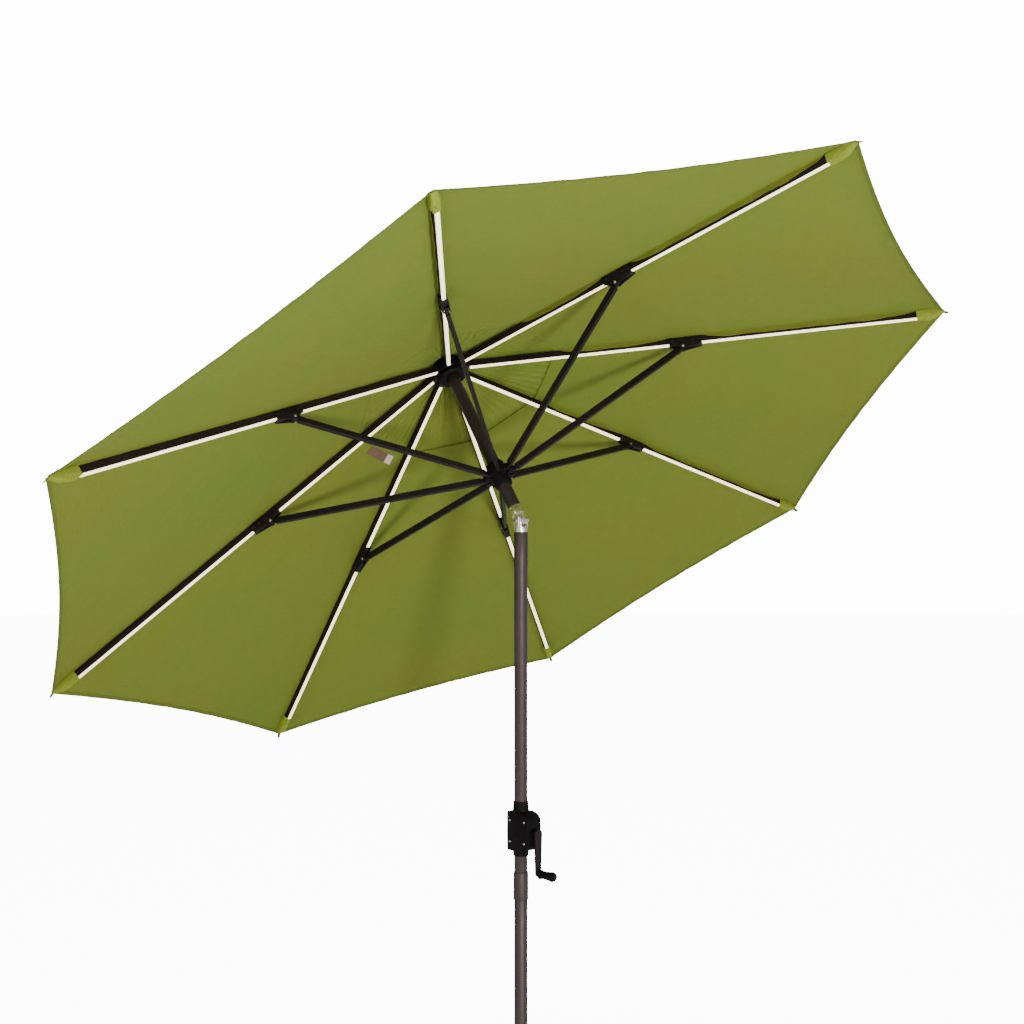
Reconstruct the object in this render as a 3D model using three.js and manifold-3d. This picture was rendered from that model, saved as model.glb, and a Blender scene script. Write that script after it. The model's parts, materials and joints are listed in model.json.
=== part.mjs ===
// A 3 m octagonal market umbrella, open and tilted: a 38 mm pole with a crank, a push-button
// tilt knuckle, eight hinged ribs with struts, light strips and a vented canopy.
// Millimetres, +Z up, origin at the middle of the foot of the pole. The canopy leans towards +Y.
import * as THREE from 'three';
import { mergeVertices } from 'three/addons/utils/BufferGeometryUtils.js';
import Module from 'manifold-3d';

const wasm = await Module();
wasm.setup();

// ---------------------------------------------------------------- driving dimensions
const RIB_COUNT = 8;
const RIB_STEP = (2 * Math.PI) / RIB_COUNT;
const FIRST_RIB = -Math.PI / 2;
const TILT = THREE.MathUtils.degToRad(34);
const DROOP = THREE.MathUtils.degToRad(19.4);

const PIVOT_Z = 1800; // height of the tilt pin
const HUB_Z = 582; // hub datum, up the mast from the tilt pin
const POLE_R = 19;
const TUBE_WALL = 1.2;
const GAP = 0.3; // between parts that touch
const BORE_R = 20.5; // holes that slide on the pole

const RIB_PIVOT = { r: 36, z: -21 }; // from the hub datum
const RIB = { wide: 13, tall: 20, wall: 0.8, start: 15, end: 1425 };
const LIGHT = { wide: 11, tall: 4, start: 30, end: 1373 };
const BRACKET = { start: 636, end: 734, pinX: 676, pinZ: -22, cheek: 2.5, inside: 14.6 };
const RUNNER_PIVOT = { r: 40, z: -421 }; // from the hub datum
const STRUT = { wide: 11, tall: 20, wall: 0.8, eyeWide: 8.6 };

const CLOTH = 1.2;
const CANOPY = { inner: 318, edge: 1388, tip: 1411, scallop: 27, tipDrop: 10, lift: 3.4 };
const CAP = { hole: 14, shoulder: 50, onRibs: 84, outer: 424, lift: 15 };

const POLE_JOINT_Z = 760;
const KNUCKLE_END = 34; // length of the lower knuckle below the pin
const MAST_START = 46; // length of the upper knuckle above the pin
const CRANK_Z = 915;
const SPOOL_R = 12.5;

// ---------------------------------------------------------------- materials
function finish(color, roughness, metalness) {
  return new THREE.MeshStandardMaterial({ color, roughness, metalness });
}

const BRONZE = 0x3b302c;
const FRAME = 0x241c1e;
const look = {
  pole: () => finish(BRONZE, 0.38, 0.7),
  frame: () => finish(FRAME, 0.45, 0.6),
  steel: () => finish(0x9a9da0, 0.3, 1),
  chrome: () => finish(0xd6d8da, 0.12, 1),
  moulded: () => finish(0x1e1c1d, 0.55, 0),
  cloth: () => finish(0x7f8c38, 0.9, 0),
  light: () => finish(0xfff2d2, 0.5, 0),
  solar: () => finish(0x10131c, 0.2, 0.1),
};

// ---------------------------------------------------------------- solids
function toSolid(geometry) {
  const bare = geometry.clone();
  bare.deleteAttribute('normal');
  bare.deleteAttribute('uv');
  const merged = mergeVertices(bare, 1e-4);
  const mesh = new wasm.Mesh({
    numProp: 3,
    vertProperties: Float32Array.from(merged.attributes.position.array),
    triVerts: Uint32Array.from(merged.index.array),
  });
  return new wasm.Manifold(mesh);
}

function toGeometry(solid) {
  const mesh = solid.getMesh();
  const geometry = new THREE.BufferGeometry();
  geometry.setAttribute('position', new THREE.BufferAttribute(mesh.vertProperties, 3));
  geometry.setIndex(new THREE.BufferAttribute(mesh.triVerts, 1));
  geometry.computeVertexNormals();
  return geometry;
}

function box(x0, x1, y0, y1, z0, z1) {
  const geometry = new THREE.BoxGeometry(x1 - x0, y1 - y0, z1 - z0);
  geometry.translate((x0 + x1) / 2, (y0 + y1) / 2, (z0 + z1) / 2);
  return toSolid(geometry);
}

// A closed outline of [radius, height] points turned about +Z.
function turned(outline, segments = 24) {
  const closed = [...outline, outline[0]].map(([r, z]) => new THREE.Vector2(r, z));
  const geometry = new THREE.LatheGeometry(closed, segments);
  geometry.rotateX(Math.PI / 2);
  const solid = toSolid(geometry);
  if (solid.volume() > 0) return solid;
  const index = geometry.index.array;
  for (let i = 0; i < index.length; i += 3) [index[i], index[i + 1]] = [index[i + 1], index[i]];
  return toSolid(geometry);
}

function rod(radius, z0, z1, segments = 24) {
  return turned([[0, z0], [radius, z0], [radius, z1], [0, z1]], segments);
}

function tube(outer, inner, z0, z1, segments = 24) {
  return turned([[inner, z0], [outer, z0], [outer, z1], [inner, z1]], segments);
}

// A ring of round wire about +Z, at height 0.
function wireRing(radius, wire, segments = 24, sides = 6) {
  const outline = [];
  for (let i = 0; i < sides; i++) {
    const angle = ((i + 0.5) / sides) * 2 * Math.PI;
    outline.push([radius + wire * Math.cos(angle), wire * Math.sin(angle)]);
  }
  return turned(outline, segments);
}

// The same solid laid along +X or +Y instead of +Z.
const alongX = (solid) => solid.rotate([0, 90, 0]);
const alongY = (solid) => solid.rotate([-90, 0, 0]);

// A plate in the XZ plane, from y0 to y1, with the outline of a THREE.Shape.
function plate(shape, y0, y1, curveSegments = 8) {
  const geometry = new THREE.ExtrudeGeometry(shape, {
    depth: y1 - y0, bevelEnabled: false, curveSegments,
  });
  geometry.rotateX(Math.PI / 2);
  geometry.translate(0, y1, 0);
  return toSolid(geometry);
}

// A box tube along +X with its long edges broken.
function boxTube(x0, x1, wide, tall, wall) {
  const cut = 1;
  const [w, t] = [wide / 2, tall / 2];
  const outline = [
    [w - cut, -t], [w, -t + cut], [w, t - cut], [w - cut, t],
    [-w + cut, t], [-w, t - cut], [-w, -t + cut], [-w + cut, -t],
  ];
  const shape = new THREE.Shape(outline.map(([y, z]) => new THREE.Vector2(z, y)).reverse());
  const [iw, it] = [w - wall, t - wall];
  shape.holes.push(new THREE.Path([[-it, -iw], [-it, iw], [it, iw], [it, -iw]]
    .map(([z, y]) => new THREE.Vector2(z, y))));
  const geometry = new THREE.ExtrudeGeometry(shape, { depth: x1 - x0, bevelEnabled: false });
  geometry.rotateY(Math.PI / 2);
  geometry.translate(x0, 0, 0);
  return toSolid(geometry);
}

// A flat lug round a hole across Y at x = eyeX, running to x = farX, where a plug fills the tube
// from plugX on.
function lug(eyeX, plugX, farX, radius, hole, wide, section) {
  const span = (from, w, t) => box(Math.min(from, farX), Math.max(from, farX), -w, w, -t, t);
  const ring = alongY(rod(radius, -wide / 2, wide / 2, 12)).translate([eyeX, 0, 0]);
  const neck = span(eyeX, wide / 2, radius - 1);
  const plug = span(plugX, (section.wide - section.wall) / 2, (section.tall - section.wall) / 2);
  const drill = alongY(rod(hole, -wide, wide, 8)).translate([eyeX, 0, 0]);
  return ring.add(neck).add(plug).subtract(drill);
}

function node(name, solid, material) {
  const mesh = new THREE.Mesh(toGeometry(solid), material);
  mesh.name = name;
  return mesh;
}

// ---------------------------------------------------------------- pole, below the tilt pin
function makeFootPlug() {
  return turned([[0, 0], [POLE_R, 0], [POLE_R, 6], [17.4, 6], [17.4, 30], [0, 30]]);
}

function makeLowerPole() {
  return tube(POLE_R, POLE_R - TUBE_WALL, 6 + GAP, POLE_JOINT_Z - GAP);
}

function makeMiddlePole() {
  const inner = POLE_R - TUBE_WALL;
  const top = PIVOT_Z - KNUCKLE_END - GAP;
  return turned([
    [inner, POLE_JOINT_Z], [POLE_R, POLE_JOINT_Z], [POLE_R, top - 98],
    [POLE_R + 0.9, top - 95], [POLE_R + 0.9, top], [inner, top],
  ]);
}

function makePoleSleeve() {
  const [low, high] = [POLE_JOINT_Z - 42, POLE_JOINT_Z + 38];
  const [inner, outer] = [POLE_R + GAP, POLE_R + 2.4];
  return turned([
    [inner, low], [outer - 1, low], [outer, low + 4], [outer, high - 4], [outer - 1, high],
    [inner, high],
  ]);
}

// The fork: a cylinder that plugs into the pole, with two ears on the tilt pin.
function makeLowerKnuckle() {
  const [ear, floor, slot] = [15, -18, 10.9];
  const body = rod(POLE_R, -KNUCKLE_END, floor).add(rod(17.2, -KNUCKLE_END - 26, -KNUCKLE_END + 1));
  const side = new THREE.Shape();
  side.moveTo(-ear, floor - 2);
  side.lineTo(-ear, 0);
  side.absarc(0, 0, ear, Math.PI, 0, true);
  side.lineTo(ear, floor - 2);
  const ears = plate(side, -POLE_R, POLE_R).rotate([0, 0, 90]).subtract(
    box(-slot, slot, -30, 30, floor, 30),
  ).intersect(rod(POLE_R + 1.5, -60, 30));
  const pinHole = alongX(rod(4.8, -30, 30, 20));
  const buttonRoom = alongX(rod(7, 16.6, 30, 20));
  return body.add(ears).subtract(pinHole).subtract(buttonRoom).translate([0, 0, PIVOT_Z]);
}

function makeTiltPin() {
  const shank = alongX(rod(4.5, -21, 6, 20));
  const head = alongX(turned([[0, -24.6], [6, -24.6], [7.6, -23.2], [7.6, -20.8], [0, -20.8]], 20));
  return shank.add(head).translate([0, 0, PIVOT_Z]);
}

function makeTiltButton() {
  const cap = turned([[0, 21], [6.4, 21], [6.4, 25.6], [5, 27.2], [0, 27.2]], 20);
  return alongX(cap.add(rod(4.4, 10, 22, 20))).translate([0, 0, PIVOT_Z]);
}

// ---------------------------------------------------------------- crank
function makeCrankHousing() {
  const [low, high] = [CRANK_Z - 55, CRANK_Z + 55];
  const side = new THREE.Shape();
  side.moveTo(-28, low);
  side.lineTo(24, low);
  side.quadraticCurveTo(54, low + 4, 54, low + 30);
  side.lineTo(54, high - 30);
  side.quadraticCurveTo(54, high - 4, 24, high);
  side.lineTo(-28, high);
  side.quadraticCurveTo(-31, CRANK_Z, -28, low);
  const body = plate(side, -27, 27, 6).rotate([0, 0, -90]);
  const collar = turned([[0, high - 4], [23.5, high - 4], [21.5, high + 28], [0, high + 28]]);
  const skirt = turned([[0, low - 16], [21.5, low - 16], [24, low + 4], [0, low + 4]]);
  const bore = rod(POLE_R + GAP, low - 30, high + 40);
  const spoolRoom = box(-19, 19, -47, -10, CRANK_Z - 19, CRANK_Z + 19);
  const shaftHole = alongY(rod(6.6, -60, -40, 20)).translate([0, 0, CRANK_Z]);
  return body.add(collar).add(skirt).subtract(bore).subtract(spoolRoom).subtract(shaftHole);
}

function makeCrankSpool() {
  const outline = [
    [0, 19.9], [16, 19.9], [16, 22.5], [SPOOL_R, 24], [SPOOL_R, 41], [16, 43], [16, 45.6],
    [6, 45.6], [6, 66], [0, 66],
  ];
  return alongY(turned(outline.map(([r, y]) => [r, -y]), 24)).translate([0, 0, CRANK_Z]);
}

function makeCrankArm() {
  const length = 112;
  const [front, back] = [-74, -61];
  const side = new THREE.Shape();
  side.absarc(0, 0, 13, 0, Math.PI, false);
  side.lineTo(-8.5, -length);
  side.absarc(0, -length, 8.5, Math.PI, 2 * Math.PI, false);
  const arm = plate(side, front, front + 8, 10);
  const boss = alongY(rod(11, front, back, 24));
  const socket = alongY(rod(6.3, back - 6, back + 1, 20));
  const axle = alongY(rod(4, front - 62, front + 2, 16)).translate([0, 0, -length]);
  return arm.add(boss).subtract(socket).add(axle).translate([0, 0, CRANK_Z]);
}

function makeCrankKnob() {
  const outline = [
    [4.4, 1], [11, 1], [14, 6], [11, 18], [12.5, 40], [14.5, 52], [12, 60], [4.4, 60],
  ];
  const knob = turned(outline.map(([r, y]) => [r, -y]), 24);
  return alongY(knob).translate([0, -74, CRANK_Z - 112]);
}

// ---------------------------------------------------------------- mast, above the tilt pin
// The tongue: an ear between the fork's two, under a cylinder that plugs into the mast.
function makeUpperKnuckle() {
  const [ear, ceiling] = [15.5, 18];
  const body = rod(POLE_R, ceiling, MAST_START).add(rod(17.2, MAST_START - 1, MAST_START + 24));
  const side = new THREE.Shape();
  side.moveTo(-ear, ceiling + 2);
  side.lineTo(-ear, 0);
  side.absarc(0, 0, ear, Math.PI, 2 * Math.PI, false);
  side.lineTo(ear, ceiling + 2);
  const tongue = plate(side, -10.4, 10.4).rotate([0, 0, 90]);
  return body.add(tongue).subtract(alongX(rod(4.8, -30, 30, 20)));
}

function makeMast() {
  return tube(POLE_R, POLE_R - TUBE_WALL, MAST_START + GAP, HUB_Z - 6);
}

// Radial slots, one for each rib, from radius r0 outwards.
function slots(r0, r1, wide, z0, z1) {
  let cut = null;
  for (let i = 0; i < RIB_COUNT; i++) {
    const angle = THREE.MathUtils.radToDeg(FIRST_RIB + i * RIB_STEP);
    const slot = box(r0, r1, -wide / 2, wide / 2, z0, z1).rotate([0, 0, angle]);
    cut = cut ? cut.add(slot) : slot;
  }
  return cut;
}

function makeHub() {
  const body = turned([
    [0, 6], [40, 6], [45, 1], [45, -26], [42, -33], [21, -33], [21, -36],
    [POLE_R + GAP, -36], [POLE_R + GAP, -5], [0, -5],
  ]);
  const boss = rod(11, 5, 15, 20);
  const groove = wireRing(RIB_PIVOT.r, 2.1).translate([0, 0, RIB_PIVOT.z]);
  const cut = slots(25.5, 60, 9.4, -50, RIB_PIVOT.z + 11);
  return body.add(boss).subtract(cut).subtract(groove).translate([0, 0, HUB_Z]);
}

function makeHubRing() {
  return wireRing(RIB_PIVOT.r, 1.4).translate([0, 0, HUB_Z + RIB_PIVOT.z]);
}

function makeTopPulley() {
  const wheel = turned([[0, -4], [13, -4], [10.5, 0], [13, 4], [0, 4]], 20);
  return alongX(wheel.add(rod(2.5, -17, 17, 12))).translate([0, 0, HUB_Z - 24]);
}

function makeLightRing() {
  const [low, high, outer] = [-56, -45, 46];
  return turned([
    [BORE_R, low], [outer - 5, low], [outer, low + 4], [outer, high], [BORE_R, high],
  ]).translate([0, 0, HUB_Z]);
}

function makeSolarCap() {
  const low = 9.4;
  const outline = [
    [11.3, low], [20, low], [24, low + 3], [58, low + 9], [63, low + 15], [63, low + 27],
    [58, low + 30], [54, low + 30], [54, low + 26], [51, low + 26], [51, low + 14],
    [24, low + 9], [11.3, low + 9],
  ];
  const switchHole = alongX(rod(4.6, 40, 70, 16)).translate([0, 0, low + 21]);
  return turned(outline).subtract(switchHole).translate([0, 0, HUB_Z]);
}

function makeSolarPanel() {
  return rod(53.6, HUB_Z + 35.8, HUB_Z + 38.6);
}

function makeBatteryPack() {
  return box(-28, 28, -19, 19, HUB_Z + 24, HUB_Z + 35);
}

function makeLightSwitch() {
  return alongX(rod(4.2, 50, 65.5, 16)).translate([0, 0, HUB_Z + 30.4]);
}

function makeRunner() {
  const body = turned([
    [BORE_R, -38], [25, -38], [27, -34], [27, -12], [49, -9], [49, 9], [30, 13], [27, 36],
    [25, 40], [BORE_R, 40],
  ]);
  const groove = wireRing(RUNNER_PIVOT.r, 2.1);
  const cut = slots(29, 70, 10, -20, 20);
  return body.subtract(cut).subtract(groove).translate([0, 0, HUB_Z + RUNNER_PIVOT.z]);
}

function makeRunnerRing() {
  return wireRing(RUNNER_PIVOT.r, 1.4).translate([0, 0, HUB_Z + RUNNER_PIVOT.z]);
}

// ---------------------------------------------------------------- cloth
// Height of the underside of the cloth above a rib, at a radius, from the hub datum.
function clothLine(r) {
  const aboveRib = (RIB.tall / 2 + CANOPY.lift) / Math.cos(DROOP);
  return RIB_PIVOT.z + aboveRib - (r - RIB_PIVOT.r) * Math.tan(DROOP);
}

// A closed sheet round the mast from rings of { r, z, scallop }, CLOTH thick, with an open middle.
// Each ring runs straight from rib to rib, pulled in by its scallop half way.
function clothSheet(rings, perGore) {
  const around = RIB_COUNT * perGore;
  const points = [];
  const triangles = [];
  const place = (ring, k, lift) => {
    const [gore, share] = [Math.floor(k / perGore), (k % perGore) / perGore];
    const start = FIRST_RIB + gore * RIB_STEP;
    const edge = (angle) => new THREE.Vector2(Math.cos(angle), Math.sin(angle)).multiplyScalar(ring.r);
    const chord = edge(start).lerp(edge(start + RIB_STEP), share);
    const bow = (ring.scallop ?? 0) * 4 * share * (1 - share);
    const radius = chord.length();
    chord.multiplyScalar((radius - bow) / radius);
    points.push(chord.x, chord.y, HUB_Z + ring.z + lift + bow * Math.tan(DROOP));
  };
  for (const lift of [0, CLOTH]) {
    for (const ring of rings) {
      for (let k = 0; k < around; k++) place(ring, k, lift);
    }
  }
  const last = rings.length - 1;
  const at = (side, ring, k) => (side * rings.length + ring) * around + (k % around);
  const quad = (a, b, c, d) => triangles.push(a, b, c, a, c, d);
  for (let k = 0; k < around; k++) {
    for (let ring = 0; ring < last; ring++) {
      quad(at(1, ring, k), at(1, ring + 1, k), at(1, ring + 1, k + 1), at(1, ring, k + 1));
      quad(at(0, ring, k), at(0, ring, k + 1), at(0, ring + 1, k + 1), at(0, ring + 1, k));
    }
    quad(at(0, 0, k), at(1, 0, k), at(1, 0, k + 1), at(0, 0, k + 1));
    quad(at(0, last, k), at(0, last, k + 1), at(1, last, k + 1), at(1, last, k));
  }
  const geometry = new THREE.BufferGeometry();
  geometry.setAttribute('position', new THREE.Float32BufferAttribute(points, 3));
  geometry.setIndex(triangles);
  return toSolid(geometry);
}

function makeCanopy() {
  const { inner, edge, tip, scallop, tipDrop } = CANOPY;
  const rings = [inner, inner + (edge - inner) * 0.35, inner + (edge - inner) * 0.7, edge]
    .map((r, i) => ({ r, z: clothLine(r), scallop: [0, 2, 8, 22][i] }));
  rings.push({ r: tip, z: clothLine(tip) - tipDrop, scallop });
  return clothSheet(rings, 4);
}

function makeCanopyCap() {
  const { hole, shoulder, onRibs, outer, lift } = CAP;
  return clothSheet([
    { r: hole, z: 7 },
    { r: shoulder, z: 7 },
    { r: onRibs, z: clothLine(onRibs) + 4 },
    { r: CANOPY.inner - 22, z: clothLine(CANOPY.inner - 22) + 3 },
    { r: CANOPY.inner + 30, z: clothLine(CANOPY.inner + 30) + lift * 0.6 },
    { r: outer, z: clothLine(outer) + lift, scallop: 9 },
  ], 2);
}

// ---------------------------------------------------------------- one rib and its strut
function makeRib() {
  const tubing = boxTube(RIB.start, RIB.end, RIB.wide, RIB.tall, RIB.wall);
  const eye = lug(0, RIB.start + 4, RIB.start + 22, 8, 2, 8.4, RIB);
  return tubing.add(eye);
}

function makeLightStrip() {
  const top = -RIB.tall / 2 - GAP;
  const [half, low] = [LIGHT.wide / 2, top - LIGHT.tall];
  const shape = new THREE.Shape([
    [top, -half], [top, half], [low + 1.4, half], [low, half - 2], [low, -half + 2],
    [low + 1.4, -half],
  ].map(([z, y]) => new THREE.Vector2(-z, y)));
  const geometry = new THREE.ExtrudeGeometry(shape, {
    depth: LIGHT.end - LIGHT.start, bevelEnabled: false,
  });
  geometry.rotateY(Math.PI / 2);
  geometry.translate(LIGHT.start, 0, 0);
  return toSolid(geometry);
}

// Two cheeks clasping the rib, joined under the light strip, with the strut's pin between them.
function makeBracket() {
  const { start, end, pinX, pinZ, cheek, inside } = BRACKET;
  const pinR = 10;
  const side = new THREE.Shape();
  side.moveTo(start, 7);
  side.lineTo(start, -17);
  side.lineTo(pinX - pinR, pinZ - 2);
  side.absarc(pinX, pinZ, pinR, Math.PI, 1.75 * Math.PI, false);
  side.lineTo(end, -19.5);
  side.lineTo(end, 7);
  const outside = inside / 2 + cheek;
  const cheeks = plate(side, -outside, outside, 4).subtract(
    box(start - 5, end + 5, -inside / 2, inside / 2, -60, 20),
  );
  const base = box(pinX + 22, end, -outside, outside, -19.5, -16.6);
  const pin = alongY(rod(3, -outside - 2, outside + 2, 8)).translate([pinX, 0, pinZ]);
  return cheeks.add(base).add(pin);
}

const strutRun = {
  x: RIB_PIVOT.r + BRACKET.pinX * Math.cos(DROOP) + BRACKET.pinZ * Math.sin(DROOP),
  z: RIB_PIVOT.z - BRACKET.pinX * Math.sin(DROOP) + BRACKET.pinZ * Math.cos(DROOP),
};
const strutLength = Math.hypot(strutRun.x - RUNNER_PIVOT.r, strutRun.z - RUNNER_PIVOT.z);
const strutRise = Math.asin((strutRun.z - RUNNER_PIVOT.z) / strutLength);

// Along +X from the bracket pin to the runner's ring.
function makeStrut() {
  const tubing = boxTube(15, strutLength - 16, STRUT.wide, STRUT.tall, STRUT.wall);
  const outerEye = lug(0, 19, 36, 6.6, 3.4, STRUT.eyeWide, STRUT);
  const innerEye = lug(
    strutLength, strutLength - 20, strutLength - 38, 8, 2.6, STRUT.eyeWide, STRUT,
  );
  const drain = rod(2, 0, 20, 8).translate([60, 0, 0]);
  return tubing.add(outerEye).add(innerEye).subtract(drain);
}

// ---------------------------------------------------------------- assembly
const umbrella = new THREE.Group();
umbrella.add(
  node('foot_plug', makeFootPlug(), look.moulded()),
  node('pole_lower', makeLowerPole(), look.pole()),
  node('pole_sleeve', makePoleSleeve(), look.pole()),
  node('pole_middle', makeMiddlePole(), look.pole()),
  node('crank_housing', makeCrankHousing(), look.moulded()),
  node('crank_spool', makeCrankSpool(), look.moulded()),
  node('crank_arm', makeCrankArm(), look.frame()),
  node('crank_knob', makeCrankKnob(), look.moulded()),
  node('tilt_knuckle_lower', makeLowerKnuckle(), look.chrome()),
  node('tilt_pin', makeTiltPin(), look.steel()),
  node('tilt_button', makeTiltButton(), look.chrome()),
);

const mast = new THREE.Group();
mast.position.z = PIVOT_Z;
mast.rotation.x = -TILT;
mast.add(
  node('tilt_knuckle_upper', makeUpperKnuckle(), look.chrome()),
  node('pole_upper', makeMast(), look.pole()),
  node('hub', makeHub(), look.frame()),
  node('hub_ring', makeHubRing(), look.steel()),
  node('top_pulley', makeTopPulley(), look.moulded()),
  node('light_ring', makeLightRing(), look.moulded()),
  node('solar_cap', makeSolarCap(), look.moulded()),
  node('solar_panel', makeSolarPanel(), look.solar()),
  node('battery_pack', makeBatteryPack(), look.moulded()),
  node('light_switch', makeLightSwitch(), look.moulded()),
  node('runner', makeRunner(), look.frame()),
  node('runner_ring', makeRunnerRing(), look.steel()),
  node('canopy', makeCanopy(), look.cloth()),
  node('canopy_cap', makeCanopyCap(), look.cloth()),
);
umbrella.add(mast);

for (let i = 0; i < RIB_COUNT; i++) {
  const spoke = new THREE.Group();
  spoke.rotation.z = FIRST_RIB + i * RIB_STEP;
  mast.add(spoke);

  const rib = new THREE.Group();
  rib.position.set(RIB_PIVOT.r, 0, HUB_Z + RIB_PIVOT.z);
  rib.rotation.y = DROOP;
  rib.add(
    node(`rib_${i + 1}`, makeRib(), look.frame()),
    node(`light_strip_${i + 1}`, makeLightStrip(), look.light()),
    node(`bracket_${i + 1}`, makeBracket(), look.frame()),
  );
  spoke.add(rib);

  const strut = node(`strut_${i + 1}`, makeStrut(), look.frame());
  strut.position.set(strutRun.x, 0, HUB_Z + strutRun.z);
  strut.rotation.y = Math.PI - strutRise;
  spoke.add(strut);
}

export default umbrella;
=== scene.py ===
import json
import math

import bmesh
import bpy
import numpy as np
from mathutils import Matrix, Vector


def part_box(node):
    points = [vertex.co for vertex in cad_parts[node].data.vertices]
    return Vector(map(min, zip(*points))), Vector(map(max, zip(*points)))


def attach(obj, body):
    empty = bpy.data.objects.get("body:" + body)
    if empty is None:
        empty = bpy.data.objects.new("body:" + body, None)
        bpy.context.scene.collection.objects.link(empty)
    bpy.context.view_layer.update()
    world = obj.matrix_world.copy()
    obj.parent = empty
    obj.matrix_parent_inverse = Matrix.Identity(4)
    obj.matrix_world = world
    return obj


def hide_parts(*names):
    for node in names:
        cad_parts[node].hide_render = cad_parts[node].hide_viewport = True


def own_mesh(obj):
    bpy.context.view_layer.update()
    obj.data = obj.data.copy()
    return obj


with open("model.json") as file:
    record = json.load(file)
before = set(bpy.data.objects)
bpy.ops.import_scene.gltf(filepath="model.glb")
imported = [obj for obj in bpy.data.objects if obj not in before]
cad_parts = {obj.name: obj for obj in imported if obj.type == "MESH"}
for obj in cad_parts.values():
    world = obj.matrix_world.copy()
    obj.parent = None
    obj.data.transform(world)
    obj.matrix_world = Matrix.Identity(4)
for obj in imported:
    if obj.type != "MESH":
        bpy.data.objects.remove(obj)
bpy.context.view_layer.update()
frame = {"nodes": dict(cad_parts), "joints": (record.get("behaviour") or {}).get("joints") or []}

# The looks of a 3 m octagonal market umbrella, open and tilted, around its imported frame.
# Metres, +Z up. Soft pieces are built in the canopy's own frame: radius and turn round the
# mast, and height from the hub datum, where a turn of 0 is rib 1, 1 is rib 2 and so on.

JOINTS = {joint["name"]: joint for joint in frame["joints"]}

# ---------------------------------------------------------------- driving dimensions
RIBS = range(1, 9)
STEP = 2 * math.pi / len(RIBS)
DROOP = math.radians(19.4)

HINGE_R = 0.036
HINGE_Z = -0.021  # from the hub datum
RIB_HALF = (0.0065, 0.010)  # half width and half height
RIB_END = 1.425  # along the rib from its hinge, as are the next three
BRACKET = (0.636, 0.734)
POCKET = (1.371, 1.455)
TAIL = (1.440, 1.467)
TAIL_HALF = 0.0068
TAIL_THICK = 0.0032
CLOTH_LIFT = 0.0034  # from the rib's top to the cloth
CLOTH = 0.0012

EDGE_R = 1.388  # where the hem starts to turn down
TIP_R = 1.411
TIP_DROP = 0.010
SCALLOP = 0.027
SAG = 0.011
VENT_R = 0.318
CAP_RINGS = (0.014, 0.050, 0.066, 0.084, 0.120, 0.296, 0.348, 0.424)  # radii of the cap's profile
CAP_ON_HUB = (0.0076, 0.0076, -0.0030)  # its heights at the first rings
CAP_LIFTS = (0.0040, 0.0034, 0.003, 0.009, 0.0150)  # and over the rib line at the others
CAP_EDGE_R = CAP_RINGS[-1]
CAP_BOW_R = 0.30  # where the cap's edge starts to curve in between the ribs
CAP_SCALLOP = 0.009
CAP_SPLIT_R = 0.092  # the middle of the cap stays on the hub, the rest rides on the ribs
HEM = 0.009
HEM_HALF = 0.0013  # half the thickness of a hem
VENT_HEM = 0.014
CAP_HEM = 0.018
HEM_OVERHANG = 0.0012  # of a hem past the cloth's edge
SEAM_TOP, SEAM_UNDER = 0.0018, -0.0002  # of the cloth laid over a seam, from the canopy's middle
SEAM_HALF, CAP_SEAM_HALF, TAPE_HALF = 0.0085, 0.0075, 0.0115  # half widths
SEAM_ROW = 0.006  # from a seam's middle to each row of stitches
STITCH = (0.0032, 0.0018, 0.00035)  # length, gap and half width
SEAM_FOLDS = (("inner", 0.305, 0.629), ("outer", 0.741, 1.362))  # along the rib, from its hinge
SEAM_FOLD_HALF = 0.0003
SEAM_FOLD_DEPTH = (0.0045, 0.0165)  # at its ends and along it
POCKET_HALF = 0.0005  # half the thickness of a pocket's cloth

# ---------------------------------------------------------------- the canopy's own frame
PIVOT = Vector(JOINTS["tilt"]["pos_m"])
UP = -Vector(JOINTS["runner_slide"]["axis"]).normalized()
HINGES = {k: Vector(JOINTS[f"rib_hinge_{k}"]["pos_m"]) for k in RIBS}
HINGE_CENTRE = sum(HINGES.values(), Vector()) / len(HINGES)
HUB = HINGE_CENTRE - UP * HINGE_Z
OUT = {k: (HINGES[k] - HINGE_CENTRE).normalized() for k in RIBS}
ACROSS = {k: UP.cross(OUT[k]) for k in RIBS}
FOLD = math.radians(JOINTS["rib_hinge_1"]["range_deg"][1])

BASIS = np.array([OUT[1], ACROSS[1], UP])  # the frame's axes
ORIGIN = np.array(HUB)


def to_part(points):
    """Points of the canopy's own frame, moved into the part's frame."""
    return np.asarray(points, float) @ BASIS + ORIGIN


def rib_matrix(k):
    """The rib's own frame: x along the rib from its hinge, y across it, z out of its top."""
    along = OUT[k] * math.cos(DROOP) - UP * math.sin(DROOP)
    top = OUT[k] * math.sin(DROOP) + UP * math.cos(DROOP)
    matrix = Matrix((along, ACROSS[k], top)).transposed().to_4x4()
    matrix.translation = HINGES[k]
    return matrix


def from_rib(points, k):
    """Points of a rib's own frame, moved into the part's frame."""
    matrix = np.array(rib_matrix(k))
    return points @ matrix[:3, :3].T + matrix[:3, 3]


# ---------------------------------------------------------------- camera, backdrop and lights
CAMERA_AT = Vector((-2.7956, -2.8970, 1.696))
CAMERA_PITCH = math.radians(1.82)
CAMERA_HEADING = Vector((0.68988, 0.72392, 0))
LENS = 49.25  # mm, in front of a sensor 36 mm wide
WORLD_LIGHT = 0.50
BACKDROP = 14.0  # how bright the world looks to the camera
FLOOR_GLOW = 12.0  # and how brightly the floor does
FLOOR_RADIUS = 40


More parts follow.
